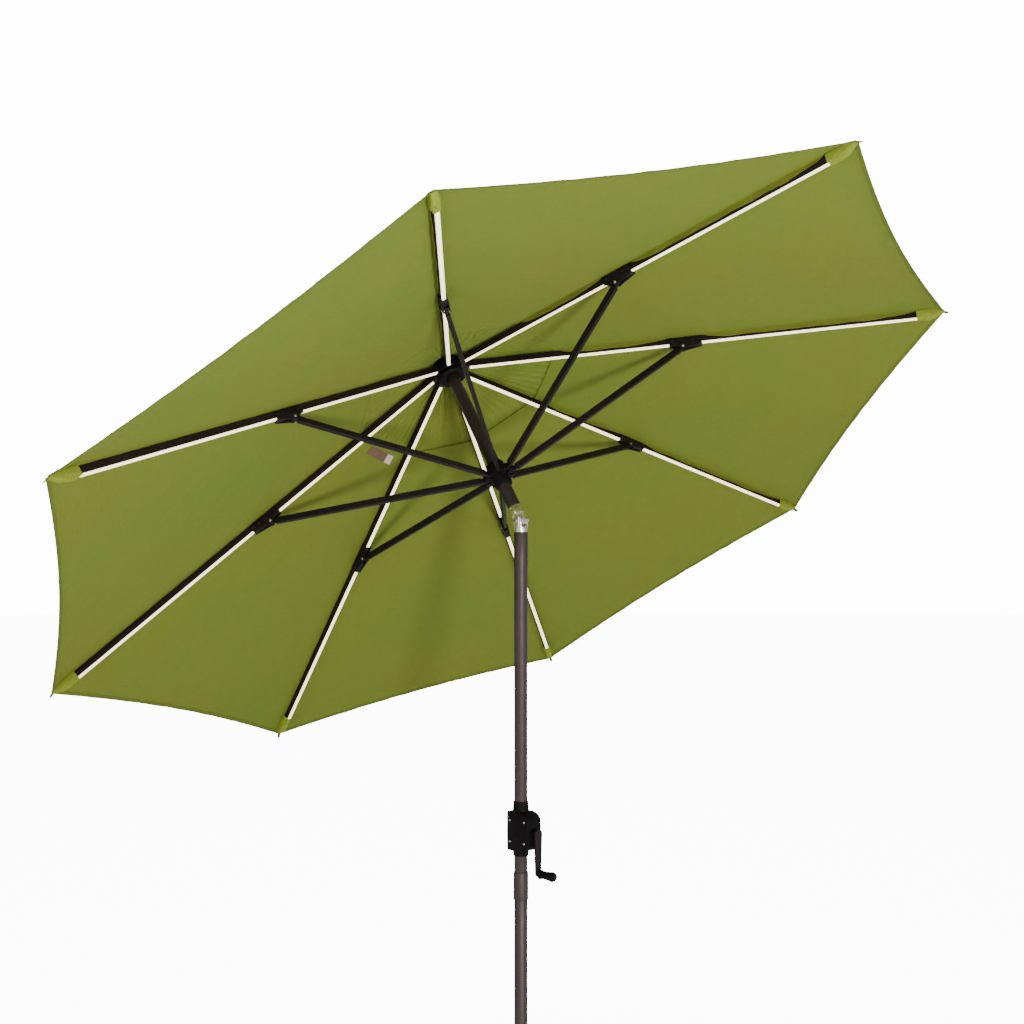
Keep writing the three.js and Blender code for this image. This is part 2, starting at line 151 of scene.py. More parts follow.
def make_camera():
    data = bpy.data.cameras.new("camera")
    data.lens = LENS
    data.sensor_width = 36
    data.clip_end = 200
    camera = bpy.data.objects.new("camera", data)
    bpy.context.scene.collection.objects.link(camera)
    look = CAMERA_HEADING * math.cos(CAMERA_PITCH) + Vector((0, 0, math.sin(CAMERA_PITCH)))
    camera.location = CAMERA_AT
    camera.rotation_euler = look.to_track_quat("-Z", "Y").to_euler()
    bpy.context.scene.camera = camera


def area_light(name, at, target, size, power):
    data = bpy.data.lights.new(name, "AREA")
    data.shape = "DISK"
    data.size = size
    data.energy = power
    light = bpy.data.objects.new(name, data)
    bpy.context.scene.collection.objects.link(light)
    light.location = at
    light.rotation_euler = (target - at).to_track_quat("-Z", "Y").to_euler()


def make_world():
    """An even white sky, brighter to the camera than to the object."""
    world = bpy.data.worlds.new("studio")
    bpy.context.scene.world = world
    world.use_nodes = True
    nodes, links = world.node_tree.nodes, world.node_tree.links
    background = nodes["Background"]
    background.inputs["Color"].default_value = (1, 1, 1, 1)
    path = nodes.new("ShaderNodeLightPath")
    strength = nodes.new("ShaderNodeMapRange")
    strength.inputs["To Min"].default_value = WORLD_LIGHT
    strength.inputs["To Max"].default_value = BACKDROP
    links.new(path.outputs["Is Camera Ray"], strength.inputs["Value"])
    links.new(strength.outputs["Result"], background.inputs["Strength"])


def make_floor():
    """A plain round floor that glows to the camera alone, so that it meets the white sky."""
    sides = 96
    ring = [(FLOOR_RADIUS * math.cos(a), FLOOR_RADIUS * math.sin(a), 0)
            for a in np.linspace(0, 2 * math.pi, sides, endpoint=False)]
    mesh = bpy.data.meshes.new("floor")
    mesh.from_pydata(ring, [], [list(range(sides))])
    floor = bpy.data.objects.new("floor", mesh)
    bpy.context.scene.collection.objects.link(floor)
    material = bpy.data.materials.new("floor")
    material.use_nodes = True
    shader = material.node_tree.nodes["Principled BSDF"]
    shader.inputs["Base Color"].default_value = (0.90, 0.90, 0.90, 1)
    shader.inputs["Roughness"].default_value = 0.9
    shader.inputs["Emission Color"].default_value = (1, 1, 1, 1)
    nodes, links = material.node_tree.nodes, material.node_tree.links
    path = nodes.new("ShaderNodeLightPath")
    glow = nodes.new("ShaderNodeMath")
    glow.operation = "MULTIPLY"
    glow.inputs[1].default_value = FLOOR_GLOW
    links.new(path.outputs["Is Camera Ray"], glow.inputs[0])
    links.new(glow.outputs[0], shader.inputs["Emission Strength"])
    mesh.materials.append(material)


def make_lights():
    right = CAMERA_HEADING.cross(Vector((0, 0, 1)))
    middle = PIVOT + UP * 0.45
    area_light("key", CAMERA_AT + right * 1.4 - Vector((0, 0, 0.9)), middle, 0.7, 170)
    area_light("fill", CAMERA_AT - right * 2.8 + Vector((0, 0, 0.2)), middle, 2.4, 40)
    area_light("side", CAMERA_AT + right * 3.4 + CAMERA_HEADING * 0.9, PIVOT + right * 0.8, 1.6, 20)
    area_light("top", PIVOT + Vector((1.0, 1.2, 4.0)), PIVOT, 3.0, 160)


# ---------------------------------------------------------------- material nodes
class Shade:
    """A material under construction: its node tree, and one Principled shader."""

    def __init__(self, name):
        self.material = bpy.data.materials.new(name)
        self.material.use_nodes = True
        self.tree = self.material.node_tree
        self.shader = self.tree.nodes["Principled BSDF"]

    def node(self, kind, **settings):
        node = self.tree.nodes.new("ShaderNode" + kind)
        for key, value in settings.items():
            setattr(node, key, value)
        return node

    def link(self, output, socket):
        self.tree.links.new(output, socket)

    def feed(self, socket, value):
        """Links an output into a socket, or sets the socket to a plain value."""
        if isinstance(value, bpy.types.NodeSocket):
            self.link(value, socket)
        else:
            socket.default_value = value

    def set(self, **values):
        for name, value in values.items():
            self.feed(self.shader.inputs[name.replace("_", " ")], value)

    def place(self):
        """The place in the part's frame, in metres."""
        return self.node("TexCoord").outputs["Object"]

    def weave(self):
        """The place on the cloth, in metres along and across it."""
        return self.node("UVMap", uv_map="weave").outputs["UV"]

    def stretched(self, vector, scale):
        mapping = self.node("Mapping")
        self.link(vector, mapping.inputs["Vector"])
        mapping.inputs["Scale"].default_value = scale
        return mapping.outputs["Vector"]

    def noise(self, vector, scale, detail=3.0, roughness=0.5):
        texture = self.node("TexNoise")
        self.link(vector, texture.inputs["Vector"])
        texture.inputs["Scale"].default_value = scale
        texture.inputs["Detail"].default_value = detail
        texture.inputs["Roughness"].default_value = roughness
        return texture.outputs["Fac"]

    def threads(self, vector, pitch, direction, waver=0.6):
        """Round threads side by side, pitch apart."""
        texture = self.node("TexWave", wave_type="BANDS", bands_direction=direction)
        self.link(vector, texture.inputs["Vector"])
        texture.inputs["Scale"].default_value = 2 * math.pi / (20 * pitch)
        texture.inputs["Distortion"].default_value = waver
        texture.inputs["Detail"].default_value = 1.0
        return texture.outputs["Fac"]

    def math(self, operation, a, b=0.0, c=0.0):
        node = self.node("Math", operation=operation)
        for socket, value in zip(node.inputs, (a, b, c)):
            self.feed(socket, value)
        return node.outputs[0]

    def spread(self, fac, low, high, start=0.3, end=0.7):
        """Maps start to end onto low to high; most noise lies between 0.3 and 0.7."""
        node = self.node("MapRange")
        self.link(fac, node.inputs["Value"])
        node.inputs["From Min"].default_value = start
        node.inputs["From Max"].default_value = end
        node.inputs["To Min"].default_value = low
        node.inputs["To Max"].default_value = high
        return node.outputs["Result"]

    def mix(self, fac, a, b):
        node = self.node("Mix", data_type="RGBA")
        for name, value in (("Factor", fac), ("A", a), ("B", b)):
            self.feed(next(s for s in node.inputs if s.name == name and s.enabled), value)
        return next(s for s in node.outputs if s.enabled)

    def bump(self, height, strength, distance):
        node = self.node("Bump")
        self.link(height, node.inputs["Height"])
        node.inputs["Strength"].default_value = strength
        node.inputs["Distance"].default_value = distance
        self.link(node.outputs["Normal"], self.shader.inputs["Normal"])


def tone(colour, factor=1.0):
    """A colour made lighter or darker, with its alpha."""
    return (*(min(1.0, c * factor) for c in colour), 1)


# ---------------------------------------------------------------- materials
KIWI = (0.128, 0.180, 0.020)
KIWI_WARM = (0.156, 0.176, 0.019)
LIME = (0.235, 0.285, 0.026)
DIODE_PITCH = 0.0167
FINGER_PITCH, BAR_PITCH = 0.006, 0.024  # of the solar cells' conductors


def woven(name, colour, warm, pitch=0.0011, sheen=0.18):
    """Plain-woven polyester: crossing threads, slubs along them, and a slow change of tone."""
    shade = Shade(name)
    uv = shade.weave()
    warp = shade.threads(uv, pitch, "X")
    weft = shade.threads(uv, pitch, "Y")
    slub_a = shade.noise(shade.stretched(uv, (420, 22, 1)), 1, 2)
    slub_b = shade.noise(shade.stretched(uv, (22, 420, 1)), 1, 2)
    slubs = shade.math("MULTIPLY_ADD", slub_a, 0.5, shade.math("MULTIPLY", slub_b, 0.5))
    drift = shade.noise(shade.place(), 2.1, 3)
    mottled = shade.mix(shade.spread(drift, 0, 1), tone(colour), tone(warm))
    threaded = shade.mix(shade.spread(slubs, 0, 0.30, 0.38, 0.62), mottled, tone(colour, 0.72))
    shade.set(Base_Color=threaded, Metallic=0.0, IOR=1.45)
    shade.set(Roughness=shade.spread(slubs, 0.72, 0.92))
    shade.set(Sheen_Weight=sheen, Sheen_Roughness=0.5, Sheen_Tint=tone(colour, 2.0))
    shade.set(Specular_IOR_Level=0.25)
    cloth = shade.math("MULTIPLY_ADD", slubs, 1.6, shade.math("MAXIMUM", warp, weft))
    shade.bump(cloth, 0.35, 0.0004)
    return shade.material


def thread(name, colour):
    """Twisted sewing thread."""
    shade = Shade(name)
    twist = shade.threads(shade.place(), 0.0006, "DIAGONAL")
    fibre = shade.noise(shade.place(), 900, 2)
    shade.set(Base_Color=shade.mix(fibre, tone(colour, 0.8), tone(colour, 1.15)))
    shade.set(Roughness=shade.spread(fibre, 0.6, 0.8))
    shade.bump(twist, 0.4, 0.0002)
    return shade.material


def powder_coat(name, colour, rubbed, metallic, low, high):
    """Baked powder coat: fine orange peel, tiny metal flakes, and a few rubbed places."""
    shade = Shade(name)
    at = shade.place()
    peel = shade.noise(at, 700, 3, 0.6)
    flakes = shade.noise(at, 2600, 1)
    cloud = shade.noise(at, 9, 4, 0.6)
    scuffs = shade.noise(shade.stretched(at, (60, 60, 7)), 1, 5, 0.7)
    base = shade.mix(shade.spread(cloud, 0, 1), tone(colour, 0.88), tone(colour, 1.14))
    flaked = shade.mix(shade.spread(flakes, 0, 0.35, 0.55, 0.75), base, tone(rubbed))
    worn = shade.mix(shade.spread(scuffs, 0, 0.55, 0.66, 0.80), flaked, tone(rubbed, 1.2))
    shade.set(Base_Color=worn, Metallic=metallic, Specular_IOR_Level=0.3)
    shade.set(Roughness=shade.spread(scuffs, low, high, 0.35, 0.75))
    shade.bump(peel, 0.22, 0.0003)
    return shade.material


def polished(name, colour, low, high):
    """Cast and plated metal: smudges, hairlines and faint pits."""
    shade = Shade(name)
    at = shade.place()
    smudge = shade.noise(at, 55, 5, 0.65)
    hairline = shade.noise(shade.stretched(at, (90, 2400, 400)), 1, 2)
    pits = shade.noise(at, 1500, 2)
    shade.set(Base_Color=shade.mix(smudge, tone(colour, 0.86), tone(colour, 1.05)), Metallic=1.0)
    shade.set(Roughness=shade.spread(smudge, low, high))
    shade.bump(shade.math("MULTIPLY_ADD", hairline, 0.5, pits), 0.04, 0.0001)
    return shade.material


def moulded(name, colour, low, high):
    """Moulded nylon with a fine spark-eroded grain."""
    shade = Shade(name)
    at = shade.place()
    grain = shade.noise(at, 1100, 4, 0.7)
    cloud = shade.noise(at, 16, 3)
    shade.set(Base_Color=shade.mix(cloud, tone(colour, 0.8), tone(colour, 1.35)))
    shade.set(Roughness=shade.spread(grain, low, high), Specular_IOR_Level=0.10)
    shade.bump(grain, 0.25, 0.0003)
    return shade.material


def diffuser(k):
    """A lit diffuser: warm white, a little brighter over each diode, taped over at the bracket."""
    shade = Shade(f"light_strip_{k}")
    along = rib_matrix(k).to_3x3().col[0]
    dot = shade.node("VectorMath", operation="DOT_PRODUCT")
    shade.link(shade.place(), dot.inputs[0])
    dot.inputs[1].default_value = along
    wave = shade.math("COSINE", shade.math("MULTIPLY", dot.outputs["Value"], 2 * math.pi / DIODE_PITCH))
    glow = shade.spread(wave, 0.82, 1.0, -1, 1)
    milk = shade.noise(shade.place(), 300, 2)
    bracket_middle = along.dot(HINGES[k]) + sum(BRACKET) / 2
    off_middle = shade.math("ABSOLUTE", shade.math("SUBTRACT", dot.outputs["Value"], bracket_middle))
    masked = shade.math("LESS_THAN", off_middle, (BRACKET[1] - BRACKET[0]) / 2)
    clear = shade.mix(milk, (0.90, 0.84, 0.68, 1), (0.97, 0.92, 0.78, 1))
    light = shade.mix(glow, (0.86, 0.69, 0.37, 1), (1.0, 0.87, 0.53, 1))
    # under the bracket the strip takes the frame's bronze, whose darkness is painted shade
    shade.set(Base_Color=shade.mix(masked, clear, tone(DEEP_SHADED_BRONZE)))
    shade.set(Roughness=shade.spread(milk, 0.35, 0.5))
    shade.set(Emission_Color=shade.mix(masked, light, (0, 0, 0, 1)))
    shade.set(Emission_Strength=2.4)
    shade.bump(milk, 0.1, 0.0002)
    return shade.material


def solar_cells():
    """Dark cells under clear resin, with fine silver fingers and a few bars across them."""
    shade = Shade("solar_cells")
    at = shade.place()
    fingers = shade.spread(shade.threads(at, FINGER_PITCH, "X", 0), 0, 0.25, 0.95, 0.995)
    bars = shade.spread(shade.threads(at, BAR_PITCH, "Y", 0), 0, 0.7, 0.985, 0.999)
    lines = shade.math("MAXIMUM", fingers, bars)
    crystal = shade.noise(at, 60, 2)
    cell = shade.mix(crystal, (0.004, 0.007, 0.020, 1), (0.008, 0.013, 0.036, 1))
    shade.set(Base_Color=shade.mix(lines, cell, (0.45, 0.46, 0.48, 1)))
    shade.set(Roughness=shade.spread(crystal, 0.24, 0.34), Coat_Weight=0.3, Coat_Roughness=0.12)
    shade.bump(lines, 0.1, 0.0002)
    return shade.material


def shades(colour, factor):
    """A plain colour made lighter or darker."""
    return tuple(c * factor for c in colour)


# One bronze powder coat throughout: BRONZE is it as lit on the pole; the mast, rib and frame copies are
# the same bronze painted darker, step by step, as painted shade under the canopy
BRONZE = (0.056, 0.040, 0.039)
SHADED_MAST_BRONZE = (0.026, 0.018, 0.018)
SHADED_RIB_BRONZE = (0.0150, 0.0092, 0.0098)
DEEP_SHADED_BRONZE = (0.0070, 0.0042, 0.0046)
MATERIALS = {
    "canopy": woven("canopy_cloth", KIWI, KIWI_WARM),
    "hem": woven("hem_cloth", shades(KIWI, 0.76), shades(KIWI_WARM, 0.78)),
    "tape": woven("seam_tape_cloth", shades(KIWI_WARM, 1.12), KIWI_WARM),
    "lime": woven("pocket_cloth", LIME, shades(LIME, 0.80), sheen=0.3),
    "label": woven("label_satin", (0.125, 0.070, 0.042), (0.17, 0.098, 0.066), 0.0005, 0.05),
    "label_white": woven("label_paper", (0.62, 0.46, 0.39), (0.66, 0.50, 0.43), 0.0005, 0.05),
    "thread": thread("kiwi_thread", (0.20, 0.26, 0.04)),
    "pole": powder_coat("pole_bronze", BRONZE, (0.125, 0.098, 0.092), 0.50, 0.46, 0.60),
    # mast, rib and frame: darker copies of the pole's bronze and of its rubbed tone, painted shade for
    # their place under the canopy
    "mast": powder_coat("mast_bronze_painted_shade", SHADED_MAST_BRONZE, (0.05, 0.038, 0.038), 0.45, 0.42, 0.56),
    "rib": powder_coat("rib_bronze_painted_shade", SHADED_RIB_BRONZE, (0.030, 0.021, 0.022), 0.25, 0.42, 0.56),
    "frame": powder_coat("frame_bronze_painted_shade", DEEP_SHADED_BRONZE, (0.014, 0.0095, 0.0105), 0.12, 0.50, 0.64),
    "chrome": polished("chrome", (0.88, 0.85, 0.80), 0.22, 0.34),
    "steel": polished("steel", (0.55, 0.55, 0.55), 0.25, 0.42),
    "moulded": moulded("moulded_nylon", (0.0036, 0.0026, 0.0028), 0.5, 0.66),
    "solar": solar_cells(),
}

CAD_MATERIALS = {
    "pole_lower": "pole", "pole_sleeve": "pole", "pole_middle": "pole", "pole_upper": "mast",
    "crank_arm": "frame", "tilt_knuckle_lower": "chrome", "tilt_knuckle_upper": "chrome",
    "tilt_pin": "steel", "tilt_button": "chrome", "hub_ring": "steel", "runner_ring": "steel",
    "solar_panel": "solar",
}
SOFT_NODES = ("canopy", "canopy_cap")
SMALL_NODES = ("hub_ring", "runner_ring", "top_pulley", "light_switch", "tilt_button", "tilt_pin")
BEVEL, SMALL_BEVEL = 0.0005, 0.0002
WELD = 0.00002


def smooth_by_angle():
    """A node group that joins a solid's facets and leaves sharp only the edges over 30 degrees."""
    group = bpy.data.node_groups.new("smooth_by_angle", "GeometryNodeTree")
    group.interface.new_socket("Geometry", in_out="INPUT", socket_type="NodeSocketGeometry")
    group.interface.new_socket("Geometry", in_out="OUTPUT", socket_type="NodeSocketGeometry")
    nodes, links = group.nodes, group.links
    start, end = nodes.new("NodeGroupInput"), nodes.new("NodeGroupOutput")
    faces = nodes.new("GeometryNodeSetShadeSmooth")
    edges = nodes.new("GeometryNodeSetShadeSmooth")
    edges.domain = "EDGE"
    edges.inputs["Shade Smooth"].default_value = False
    angle = nodes.new("GeometryNodeInputMeshEdgeAngle")
    sharp = nodes.new("FunctionNodeCompare")
    sharp.operation = "GREATER_THAN"
    sharp.inputs["B"].default_value = math.radians(30)
    links.new(angle.outputs["Unsigned Angle"], sharp.inputs["A"])
    links.new(sharp.outputs["Result"], edges.inputs["Selection"])
    links.new(start.outputs[0], faces.inputs["Geometry"])
    links.new(faces.outputs[0], edges.inputs["Geometry"])
    links.new(edges.outputs[0], end.inputs[0])
    return group


SMOOTH = smooth_by_angle()


def refine(piece, bevel):
    """Rounds a hard solid's edges and smooths its facets, without touching its own mesh."""
    weld = piece.modifiers.new("weld", "WELD")
    weld.merge_threshold = WELD
    if bevel:
        rounding = piece.modifiers.new("bevel", "BEVEL")
        rounding.width = bevel
        rounding.segments = 2
        rounding.limit_method = "ANGLE"
        rounding.angle_limit = math.radians(35)
    piece.modifiers.new("smooth", "NODES").node_group = SMOOTH


def cad_material(name):
    """The material of a CAD node; the repeated ones go by the start of their name."""
    if name.startswith("light_strip_"):
        return diffuser(int(name.rsplit("_", 1)[1]))
    if name.startswith("rib_"):
        return MATERIALS["rib"]
    if name.startswith(("strut_", "bracket_")):
        return MATERIALS["frame"]
    return MATERIALS[CAD_MATERIALS.get(name, "moulded")]


def dress_cad():
    for name, piece in frame["nodes"].items():
        piece.data.materials.clear()
        piece.data.materials.append(cad_material(name))
        if name in SOFT_NODES:
            refine(piece, 0.0)
        else:
            refine(piece, SMALL_BEVEL if name in SMALL_NODES else BEVEL)


# ---------------------------------------------------------------- meshes
TINY = 1e-12  # a length, to divide by in place of nothing
HAIR = 1e-6  # of a turn, to keep a piece's last points in its last gore
SECTOR_POINTS = 49


class Solid:
    """Vertices and faces collected for one piece, with the place of each corner on the cloth."""

    def __init__(self):
        self.points, self.faces, self.uvs, self.normals = [], [], [], []
        self.flat = set()  # faces with a hard edge round them

    def add(self, points, faces, uvs=None, normals=None):
        base = len(self.points)
        self.points += [tuple(p) for p in points]
        self.faces += [tuple(base + i for i in face) for face in faces]
        for face in faces:
            self.uvs += [tuple(uvs[i]) if uvs is not None else (0.0, 0.0) for i in face]
            self.normals += [tuple(normals[i]) if normals is not None else (0.0, 0.0, 0.0)
                             for i in face]

    def build(self, name, material, own_normals=False):
        mesh = bpy.data.meshes.new(name)
        mesh.from_pydata(self.points, [], self.faces)
        layer = mesh.uv_layers.new(name="weave")
        layer.data.foreach_set("uv", np.array(self.uvs, float).ravel())
        mesh.materials.append(MATERIALS[material])
        smooth = [i not in self.flat for i in range(len(self.faces))]
        mesh.polygons.foreach_set("use_smooth", smooth)
        mesh.update()
        if own_normals:
            mesh.normals_split_custom_set([Vector(n) for n in self.normals])
        piece = bpy.data.objects.new(name, mesh)
        bpy.context.scene.collection.objects.link(piece)
        return piece


def layered(grid, normal, uv, outer, inner):
    """A closed solid round a grid of points: out by outer and in by inner along the normals."""
    lines, columns = grid.shape[:2]
    solid = Solid()
    count = lines * columns
    top = grid + normal * outer
    low = grid - normal * inner
    index = np.arange(count).reshape(lines, columns)
    points = np.concatenate([top.reshape(-1, 3), low.reshape(-1, 3)])
    uvs = np.concatenate([uv.reshape(-1, 2)] * 2)
    up = normal.reshape(-1, 3)
    normals = np.concatenate([up, -up])
    a, b = index[:-1, :-1].ravel(), index[1:, :-1].ravel()
    c, d = index[1:, 1:].ravel(), index[:-1, 1:].ravel()
    faces = list(zip(a, b, c, d)) + [(i + count, l + count, k + count, j + count)
                                     for i, j, k, l in zip(a, b, c, d)]
    solid.add(points, faces, uvs, normals)
    rim = list(index[0, ::-1]) + list(index[1:, 0]) + list(index[-1, 1:]) + list(index[-2:0:-1, -1])
    for i, j in zip(rim, rim[1:] + rim[:1]):
        face = (i, j, j + count, i + count)
        solid.flat.add(len(solid.faces))
        solid.faces.append(face)
        side = np.cross(points[j] - points[i], points[i + count] - points[i])
        side /= max(np.linalg.norm(side), TINY)
        for corner in face:
            solid.uvs.append(tuple(uvs[corner]))
            solid.normals.append(tuple(side))
    return solid


def unit(vectors):
    """Vectors along the last axis, each made one long."""
    return vectors / np.linalg.norm(vectors, axis=-1, keepdims=True)


# ---------------------------------------------------------------- the canopy's surface
TURN_DOWN = 0.030  # how far from the hem the cloth starts to dip over the rib's end
PUCKER, PUCKER_PITCH = 0.0010, 0.085  # along a seam
HEM_RIPPLE = 0.0006
BILLOW = 0.0022  # slack in the middle of a gore
GATHER = 0.0026  # folds of the cap towards the hub
PULL = 0.0021  # folds of the cap further out
CAP_DISH = 0.004
SLOPE_R, SLOPE_TURN = 0.0015, 0.004  # steps over which a surface's slope is taken


def ramp(value, start, width):
    """0 up to start, 1 from start + width on, and straight between them."""
    return np.clip((value - start) / width, 0, 1)


def rib_line(r):
    """Height of the middle of the cloth over a rib, from the hub datum."""
    above = (RIB_HALF[1] + CLOTH_LIFT) / math.cos(DROOP) + CLOTH / 2
    return HINGE_Z + above - (r - HINGE_R) * math.tan(DROOP)


def chord(r, turn, bow):
    """x, y and the share across its gore of a point that lies straight between two ribs."""
    gore = np.floor(turn)
    share = turn - gore
    start = gore * STEP
    x = r * ((1 - share) * np.cos(start) + share * np.cos(start + STEP))
    y = r * ((1 - share) * np.sin(start) + share * np.sin(start + STEP))
    radius = np.hypot(x, y)
    scale = (radius - bow * 4 * share * (1 - share)) / radius
    return x * scale, y * scale, share, gore % len(RIBS)


def canopy_at(r, turn):
    """The main canopy: taut gores that sag a little, scalloped and turned down at the hem."""
    q = ramp(r, VENT_R, TIP_R - VENT_R)
    bow = SCALLOP * q ** 2.6
    x, y, share, gore = chord(r, turn, bow)
    middle = 4 * share * (1 - share)
    z = rib_line(r) + bow * middle * math.tan(DROOP)
    z = z - SAG * middle * (0.25 + 0.75 * np.sin(math.pi * q ** 0.85))
    over = ramp(r, EDGE_R - TURN_DOWN, TIP_R - EDGE_R + TURN_DOWN)
    z = z - TIP_DROP * over ** 2
    from_rib = np.minimum(share, 1 - share) * 2 * r * math.sin(STEP / 2)
    pucker = np.exp(-from_rib / 0.035) * (1 - np.exp(-from_rib / 0.008))
    z = z + PUCKER * pucker * np.sin(r * 2 * math.pi / PUCKER_PITCH + gore * 2.4)
    near_hem = np.exp(-(TIP_R - r) / 0.07)
    along = share * 2 * math.pi * 9 + gore * 1.7
    z = z + HEM_RIPPLE * near_hem * middle * (np.sin(along) + 0.6 * np.sin(along * 1.63 + 1.1))
    slack = np.sin(r * 5.3 + gore * 1.9) * np.sin(share * math.pi * 2 + gore) * middle
    z = z + BILLOW * slack * np.sin(math.pi * q)
    return np.stack([x, y, z], -1)


def cap_at(r, turn):
    """The vent cap: gathered over the hub, lying on the ribs, with its edge standing off."""
    on_ribs = CAP_RINGS[len(CAP_ON_HUB):]
    heights = [*CAP_ON_HUB, *(rib_line(ring) + lift for ring, lift in zip(on_ribs, CAP_LIFTS))]
    bow = CAP_SCALLOP * ramp(r, CAP_BOW_R, CAP_EDGE_R - CAP_BOW_R) ** 2
    x, y, share, gore = chord(r, turn, bow)
    middle = 4 * share * (1 - share)
    z = np.interp(r, CAP_RINGS, heights) + bow * middle * math.tan(DROOP)
    circle = share * 2 * math.pi
    gather = np.sin(circle * 5 + gore * 2.1) + 0.5 * np.sin(circle * 11 + gore)
    gather = gather * ramp(r, 0.07, 0.03) * ramp(-r, -0.33, 0.20)
    z = z + GATHER * gather * middle * (1 + 0.5 * np.sin(gore * 2.6 + 5.5))
    pulls = np.sin(circle * 8 + 9 * r + gore) * (0.4 + np.cos(gore - 1) ** 2)
    pulls = pulls * ramp(r, 0.13, 0.08) * ramp(-r, -0.40, 0.08)
    z = z + PULL * pulls * middle
    z = z - CAP_DISH * middle * ramp(r, 0.09, 0.1) * ramp(-r, -CAP_EDGE_R, 0.1)
    return np.stack([x, y, z], -1)


def upward(surface, r, turn):
    """Unit normals of a surface, in the canopy's own frame."""
    across = surface(r, turn + SLOPE_TURN) - surface(r, turn - SLOPE_TURN)
    along = surface(r + SLOPE_R, turn) - surface(r - SLOPE_R, turn)
    return unit(np.cross(along, across))


def patch(surface, radii, turns):
    """Points, upward normals and weave coordinates of a surface over a grid of radii and turns."""
    r, turn = np.meshgrid(np.asarray(radii, float), np.asarray(turns, float), indexing="ij")
    points = surface(r, turn)
    gore = np.floor(np.clip(turn, turns[0] + HAIR, turns[-1] - HAIR))
    middle = (gore + 0.5) * STEP
    u = points[..., 0] * np.cos(middle) + points[..., 1] * np.sin(middle)
    v = -points[..., 0] * np.sin(middle) + points[..., 1] * np.cos(middle)
    uv = np.stack([u / math.cos(DROOP), v], -1)
    return to_part(points), upward(surface, r, turn) @ BASIS, uv


def cloth_piece(name, material, surface, radii, turns, outer=CLOTH / 2, inner=CLOTH / 2):
    """A piece of cloth on a surface, with its area, and its width and length."""
    grid, normal, uv = patch(surface, radii, turns)
    piece = layered(grid, normal, uv, outer, inner).build(name, material, own_normals=True)
    quads = np.cross(grid[1:, :-1] - grid[:-1, :-1], grid[:-1, 1:] - grid[:-1, :-1])
    area = float(np.linalg.norm(quads, axis=-1).sum())
    span = np.linalg.norm(grid[-1, -1] - grid[-1, 0])
    reach = np.linalg.norm(grid[-1, grid.shape[1] // 2] - grid[0, grid.shape[1] // 2])
    return piece, area, (float(span), float(reach))


def rows(start, end, step):
    """Evenly spaced numbers from start to end, about step apart."""
    return np.linspace(start, end, max(2, round((end - start) / step) + 1))


def sector(k):
    """Turns from the middle of one gore to the middle of the next, round rib k."""
    return k - 1 + np.linspace(-0.5, 0.5, SECTOR_POINTS)


def fold_keep(surface, r):
    """The share of its width that a sector keeps, to still meet the next one at r when the ribs drop."""
    x, _, z = surface(np.array(r), np.array(0.5))
    dropped = HINGE_R + (x - HINGE_R) * math.cos(FOLD) + (z - HINGE_Z) * math.sin(FOLD)
    return min(1.0, float(dropped / x))


def ride_rib(piece, k, keep=None):
    """Makes a piece move with rib k; with keep, the piece also gets a mesh of its own."""
    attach(piece, f"rib_{k}")
    if keep:
        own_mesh(piece)


CANOPY_KEEP = fold_keep(canopy_at, VENT_R)
CAP_KEEP = fold_keep(cap_at, CAP_SPLIT_R)


def strip_on(name, material, surface, radii, k, half, outer, inner):
    """A strip of even width that follows a rib's line on a surface."""
    radii = np.asarray(radii, float)
    columns = np.linspace(-1, 1, 7)
    turns = (k - 1) + columns[None, :] * half / (2 * radii[:, None] * math.sin(STEP / 2))
    r = np.repeat(radii[:, None], len(columns), 1)
    uv = np.stack([r, columns[None, :] * half + 0 * r], -1)
    solid = layered(to_part(surface(r, turns)), upward(surface, r, turns) @ BASIS, uv, outer, inner)
    return solid.build(name, material, own_normals=True)


def stitches(name, lines):
    """Rows of stitches along lines of (points, normals), as small raised lozenges."""
    length, gap, half = STITCH
    solid = Solid()
    for points, normals in lines:
        steps = np.linalg.norm(np.diff(points, axis=0), axis=1)
        run = np.concatenate([[0], np.cumsum(steps)])
        starts = np.arange(0.002, run[-1] - length, length + gap)
        for start in starts:
            at = [np.array([np.interp(start + s * length, run, points[:, i]) for i in range(3)])
                  for s in (0, 0.5, 1)]
            n = np.array([np.interp(start, run, normals[:, i]) for i in range(3)])
            n /= np.linalg.norm(n)
            side = np.cross(n, at[2] - at[0])
            side *= half / np.linalg.norm(side)
            crest, root = at[1] + n * half * 1.3, at[1] - n * half
            corners = [at[0], at[1] + side, at[2], at[1] - side, crest, root]
            solid.add(corners, [(0, 4, 1), (1, 4, 2), (2, 4, 3), (3, 4, 0),
                                (1, 5, 0), (2, 5, 1), (3, 5, 2), (0, 5, 3)])
    return solid.build(name, "thread")


def thread_line(surface, r, turn, lift):
    """Points and normals of a line of thread on a surface, lifted off its middle."""
    normal = upward(surface, r, turn)
    return to_part(surface(r, turn) + normal * lift), (normal * np.sign(lift)) @ BASIS


def hem_stitches(k):
    """One row of stitches round the hem, seen on both faces."""
    turns = np.linspace(k - 1.5, k - 0.5, 61)
    r = np.full_like(turns, TIP_R - HEM * 0.75)
    lines = [thread_line(canopy_at, r, turns, side * HEM_HALF) for side in (1, -1)]
    return stitches(f"hem_stitches_{k}", lines)


def seam_stitches(k):
    """Two rows of stitches along a seam, on its upper face."""
    r = rows(VENT_R + 0.02, TIP_R - 0.02, 0.02)
    lines = []
    for side in (1, -1):
        turn = (k - 1) + side * SEAM_ROW / (2 * r * math.sin(STEP / 2))
        lines.append(thread_line(canopy_at, r, turn, SEAM_TOP))
    return stitches(f"seam_stitches_{k}", lines)


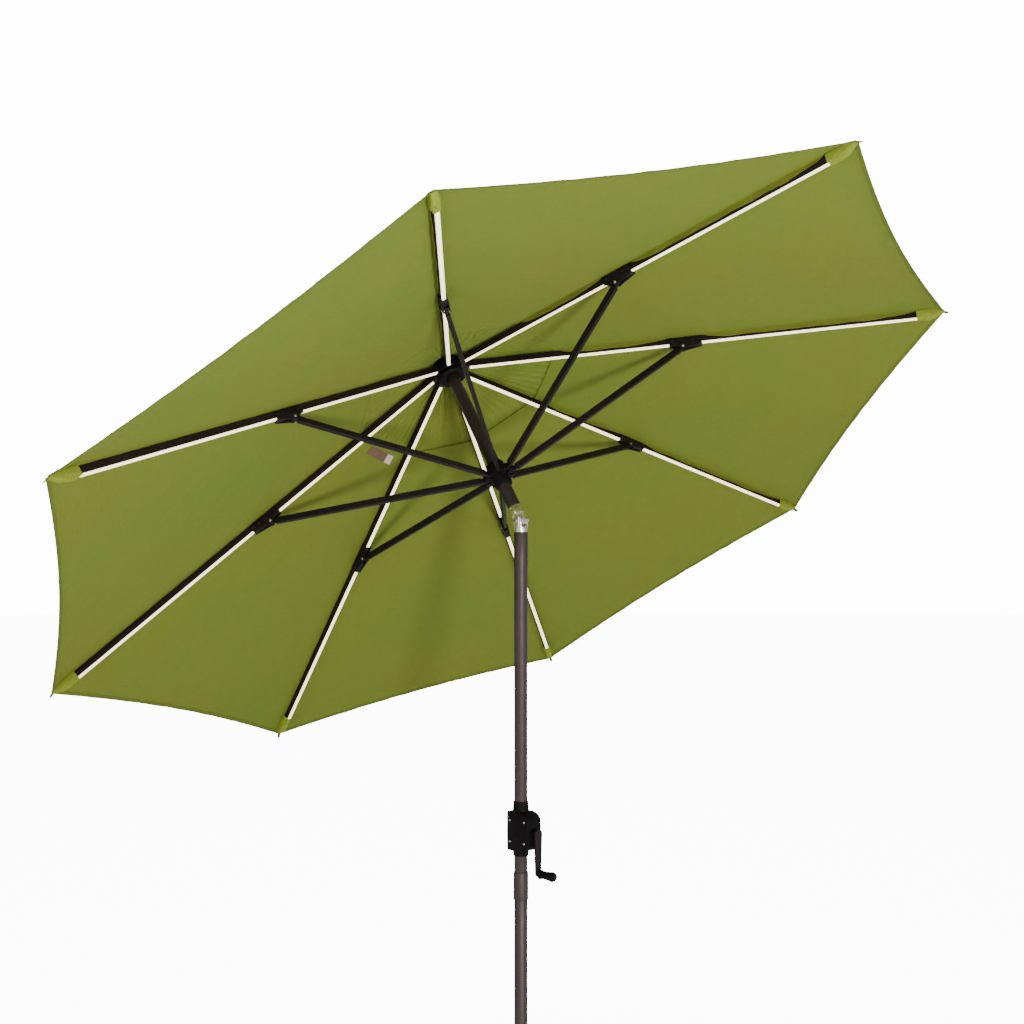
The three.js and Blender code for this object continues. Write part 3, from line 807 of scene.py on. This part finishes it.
def make_seam_fold(k, part, start, end):
    """The seam's spare cloth, pressed over to one side so that it hangs beside the rib."""
    shallow, deep = SEAM_FOLD_DEPTH
    us = rows(start, end, 0.011)
    drops = np.linspace(0, 1, 7)
    grid = np.zeros((len(us), len(drops), 3))
    for i, u in enumerate(us):
        taper = np.clip((u - start) / 0.06, 0, 1) * np.clip((end - u) / 0.11, 0, 1)
        depth = shallow + (deep - shallow) * taper ** 0.6 + 0.0007 * math.sin(u * 61 + k) * taper
        wave = 0.0008 * math.sin(u * 47 + 1.7 * k) * taper
        y = -(RIB_HALF[0] + 0.0012 + (0.0004 + wave) * drops + 0.0016 * drops ** 3)
        z = RIB_HALF[1] + 0.0026 - depth * drops
        grid[i] = np.stack([np.full_like(y, u), y, z], -1)
    placed = from_rib(grid, k)
    normal = unit(np.cross(np.gradient(placed, axis=0), np.gradient(placed, axis=1)))
    uv = np.stack(np.broadcast_arrays(us[:, None], drops[None, :] * 0.014), -1)
    solid = layered(placed, normal, uv, SEAM_FOLD_HALF, SEAM_FOLD_HALF)
    return outward(solid.build(f"seam_fold_{part}_{k}", "tape"))


def outward(piece):
    """Turns every face of a closed piece outwards."""
    bm = bmesh.new()
    bm.from_mesh(piece.data)
    bmesh.ops.recalc_face_normals(bm, faces=bm.faces)
    bm.to_mesh(piece.data)
    bm.free()
    return piece


def make_canopy():
    """The main canopy in eight parts, each on its rib, meeting half way between the ribs."""
    dip = EDGE_R - TURN_DOWN
    radii = np.concatenate([rows(VENT_R, dip, 0.0165)[:-1], rows(dip, TIP_R, 0.006)])
    hem_radii = rows(TIP_R - HEM, TIP_R + HEM_OVERHANG, 0.003)
    inner_hem = rows(VENT_R - 0.0015, VENT_R + VENT_HEM, 0.004)
    seam_rows = rows(VENT_R - 0.001, TIP_R - 0.004, 0.02)
    for k in RIBS:
        sheet, area, flat = cloth_piece(f"canopy_{k}", "canopy", canopy_at, radii, sector(k))
        hems = []
        for part, cloth, hem_rows in (("hem", "hem", hem_radii), ("vent_hem", "canopy", inner_hem)):
            hem, _, _ = cloth_piece(f"{part}_{k}", cloth, canopy_at, hem_rows, sector(k),
                                    HEM_HALF, HEM_HALF)
            hems.append(hem)
        hems.append(hem_stitches(k))
        seams = [
            strip_on(f"seam_{k}", "canopy", canopy_at, seam_rows, k, SEAM_HALF, SEAM_TOP, SEAM_UNDER),
            strip_on(f"seam_tape_{k}", "tape", canopy_at, seam_rows[:-3], k, TAPE_HALF, -0.0004, 0.0015),
            seam_stitches(k),
            *(make_seam_fold(k, *span) for span in SEAM_FOLDS),
        ]
        for piece in (sheet, *hems):
            ride_rib(piece, k, CANOPY_KEEP)
        for piece in seams:
            ride_rib(piece, k)
        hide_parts("canopy")


def make_cap():
    """The vent cap: a middle held on the hub, and eight parts on the ribs."""
    radii = np.concatenate([rows(CAP_SPLIT_R, CAP_BOW_R, 0.012)[:-1], rows(CAP_BOW_R, CAP_EDGE_R, 0.010)])
    hem_radii = rows(CAP_EDGE_R - CAP_HEM, CAP_EDGE_R + HEM_OVERHANG, 0.004)
    seam_rows = rows(CAP_SPLIT_R + 0.006, CAP_EDGE_R - 0.004, 0.012)
    for k in RIBS:
        sheet, area, flat = cloth_piece(f"vent_cap_{k}", "canopy", cap_at, radii, sector(k))
        hem, _, _ = cloth_piece(f"cap_hem_{k}", "hem", cap_at, hem_radii, sector(k), HEM_HALF, HEM_HALF)
        seam = strip_on(f"cap_seam_{k}", "canopy", cap_at, seam_rows, k, CAP_SEAM_HALF, SEAM_TOP,
                        SEAM_UNDER)
        for piece in (sheet, hem):
            ride_rib(piece, k, CAP_KEEP)
        ride_rib(seam, k)
        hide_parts("canopy_cap")
    turns = np.linspace(0, len(RIBS), len(RIBS) * 12 + 1)
    reach = CAP_SPLIT_R + 0.004  # the middle laps over the eight parts
    middle, area, _ = cloth_piece("vent_cap_middle", "canopy", cap_at, rows(CAP_RINGS[0], reach, 0.006),
                                  turns, CLOTH * 1.5, CLOTH * 0.2)
    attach(middle, "mast")


# ---------------------------------------------------------------- rib-end pockets and small trim
def pocket_section(u):
    """Half width, highest and lowest height of a pocket, along its rib; it narrows past the rib."""
    q = max(0.0, (u - RIB_END) / (POCKET[1] - RIB_END))
    half = 0.0118 - 0.0058 * q
    top = RIB_HALF[1] + CLOTH_LIFT - 0.0005 - 0.006 * q
    low = -0.0132 + 0.0168 * q ** 1.2
    return half, top, low


def make_pocket(k):
    """A crumpled bag of brighter cloth under the end of a rib, open towards the hub."""
    us = np.linspace(*POCKET, 29)
    angles = np.linspace(0, math.pi, 31)
    grid = np.zeros((len(us), len(angles), 3))
    for i, u in enumerate(us):
        half, top, low = pocket_section(u)
        run = (u - POCKET[0]) / (POCKET[1] - POCKET[0])
        crumple = np.sin(angles * 5 + run * 9 + k * 1.3) + 0.7 * np.sin(angles * 9 - run * 17 + k)
        ridge = 1.3 * np.exp(-((angles - 1.1 - 0.9 * run) / 0.16) ** 2)
        puff = np.sin(angles) * math.sin(math.pi * min(1, run + 0.2))
        swell = 1 + (0.075 * crumple + 0.13 * ridge) * puff
        y = half * np.sign(np.cos(angles)) * np.abs(np.cos(angles)) ** 0.65 * swell
        z = top - (top - low) * np.sin(angles) ** 0.6 * swell
        grid[i] = np.stack([np.full_like(y, u), y, z], -1)
    placed = from_rib(grid, k)
    normal = unit(np.cross(np.gradient(placed, axis=1), np.gradient(placed, axis=0)))
    uv = np.stack(np.broadcast_arrays(grid[..., 0], angles[None, :] * 0.02), -1)
    piece = outward(layered(placed, normal, uv, POCKET_HALF, POCKET_HALF).build(f"pocket_{k}", "lime"))
    ride_rib(piece, k)


def make_tail(k):
    """The folded end of the corner's binding, hanging just past the tip."""
    us = np.linspace(*TAIL, 9)[:, None]
    q = (us - TAIL[0]) / (TAIL[1] - TAIL[0])
    share = np.linspace(-1, 1, 5)[None, :]
    y = TAIL_HALF * share * (1 - 0.25 * q)
    z = 0.0072 - 0.009 * q ** 1.4 - 0.0006 * share ** 2
    grid = np.stack(np.broadcast_arrays(us, y, z), -1)
    placed = from_rib(grid, k)
    top = np.array(rib_matrix(k).to_3x3().col[2])
    thinner = np.broadcast_to((1 - 0.3 * q)[..., None], grid.shape) * top
    solid = layered(placed, thinner, placed[..., :2], TAIL_THICK / 2, TAIL_THICK / 2)
    solid.flat.clear()
    piece = outward(solid.build(f"tail_{k}", "hem"))
    ride_rib(piece, k)


DOME = ((1.0, 0.0), (1.0, 0.18), (0.86, 0.52), (0.60, 0.82), (0.28, 0.97))  # shares of radius, height


def dome(solid, matrix, at, facing, radius, height):
    """A rivet head: a low dome on a small skirt, facing +Y or -Y of the matrix."""
    sides = 14
    points = []
    for share, rise in DOME:
        for i in range(sides):
            a = 2 * math.pi * i / sides
            local = Vector((at[0] + radius * share * math.cos(a), at[1] + facing * height * rise,
                            at[2] + radius * share * math.sin(a)))
            points.append(matrix @ local)
    points.append(matrix @ Vector((at[0], at[1] + facing * height, at[2])))
    last = len(points) - 1
    faces = [tuple(range(sides))]
    for ring in range(len(DOME) - 1):
        for i in range(sides):
            j = (i + 1) % sides
            a, b = ring * sides, (ring + 1) * sides
            faces.append((a + i, a + j, b + j, b + i))
    top = (len(DOME) - 1) * sides
    faces += [(top + i, top + (i + 1) % sides, last) for i in range(sides)]
    if facing > 0:
        faces = [face[::-1] for face in faces]
    solid.add(points, faces)


CHEEK = 0.0098  # from a rib's middle to the outside of its bracket
RIVETS = ((0.646, -0.001), (0.706, -0.002), (0.727, -0.002))  # along the rib and up from its middle
STRUT_PIN = (0.676, -0.022)
RIVET_HEAD, PIN_HEAD, SCREW_HEAD = (0.0042, 0.0024), (0.0046, 0.0022), (0.0036, 0.0016)  # radius, height


def make_rivets(k):
    """Painted rivets through the cheeks of a bracket, and the bright ends of its strut pin."""
    matrix = rib_matrix(k)
    rivets, heads = Solid(), Solid()
    for facing in (1, -1):
        for u, z in RIVETS:
            dome(rivets, matrix, (u, facing * (CHEEK - 0.0001), z), facing, *RIVET_HEAD)
        pin_end = (STRUT_PIN[0], facing * (CHEEK + 0.0019), STRUT_PIN[1])
        dome(heads, matrix, pin_end, facing, *PIN_HEAD)
    for name, solid, material in (("rivets", rivets, "frame"), ("pin_heads", heads, "steel")):
        piece = outward(solid.build(f"{name}_{k}", material))
        ride_rib(piece, k)


def make_label():
    """A blank sewn-in label of satin and white paper, under the cloth beside the vent.

    Its satin crosses the middle of a gore, so it is in two parts, each on its own rib.
    """
    parts = (("label_white", "label_white", 4.20, 4.32, 5), ("label_satin_1", "label", 4.32, 4.5, 5),
             ("label_satin_2", "label", 4.5, 4.67, 6))
    radii = rows(0.338, 0.368, 0.005)
    for name, material, start, end, k in parts:
        turns = np.linspace(start, end, 9)
        piece, _, _ = cloth_piece(name, material, canopy_at, radii, turns, -0.0016, 0.0021)
        ride_rib(piece, k, CANOPY_KEEP)


SCREW_PLACES = (-0.040, 0.018), (-0.036, 0.024)  # along and up the side of the crank housing


def make_housing_screws():
    """Screws that hold the two halves of the crank housing together."""
    low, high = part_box("crank_housing")
    middle = (low[2] + high[2]) / 2
    for number, side in ((1, 1), (2, -1)):
        x = high[0] if side > 0 else low[0]
        matrix = Matrix.Translation((x, 0, middle)) @ Matrix.Rotation(-math.pi / 2, 4, "Z")
        solid = Solid()
        for along in SCREW_PLACES[0]:
            for up in SCREW_PLACES[1]:
                dome(solid, matrix, (-along, 0, up), side, *SCREW_HEAD)
        piece = outward(solid.build(f"housing_screws_{number}", "steel"))
        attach(piece, "pole")


make_camera()
make_world()
make_floor()
make_lights()
dress_cad()
make_canopy()
make_cap()
make_label()
make_housing_screws()
for number in RIBS:
    make_pocket(number)
    make_tail(number)
    make_rivets(number)
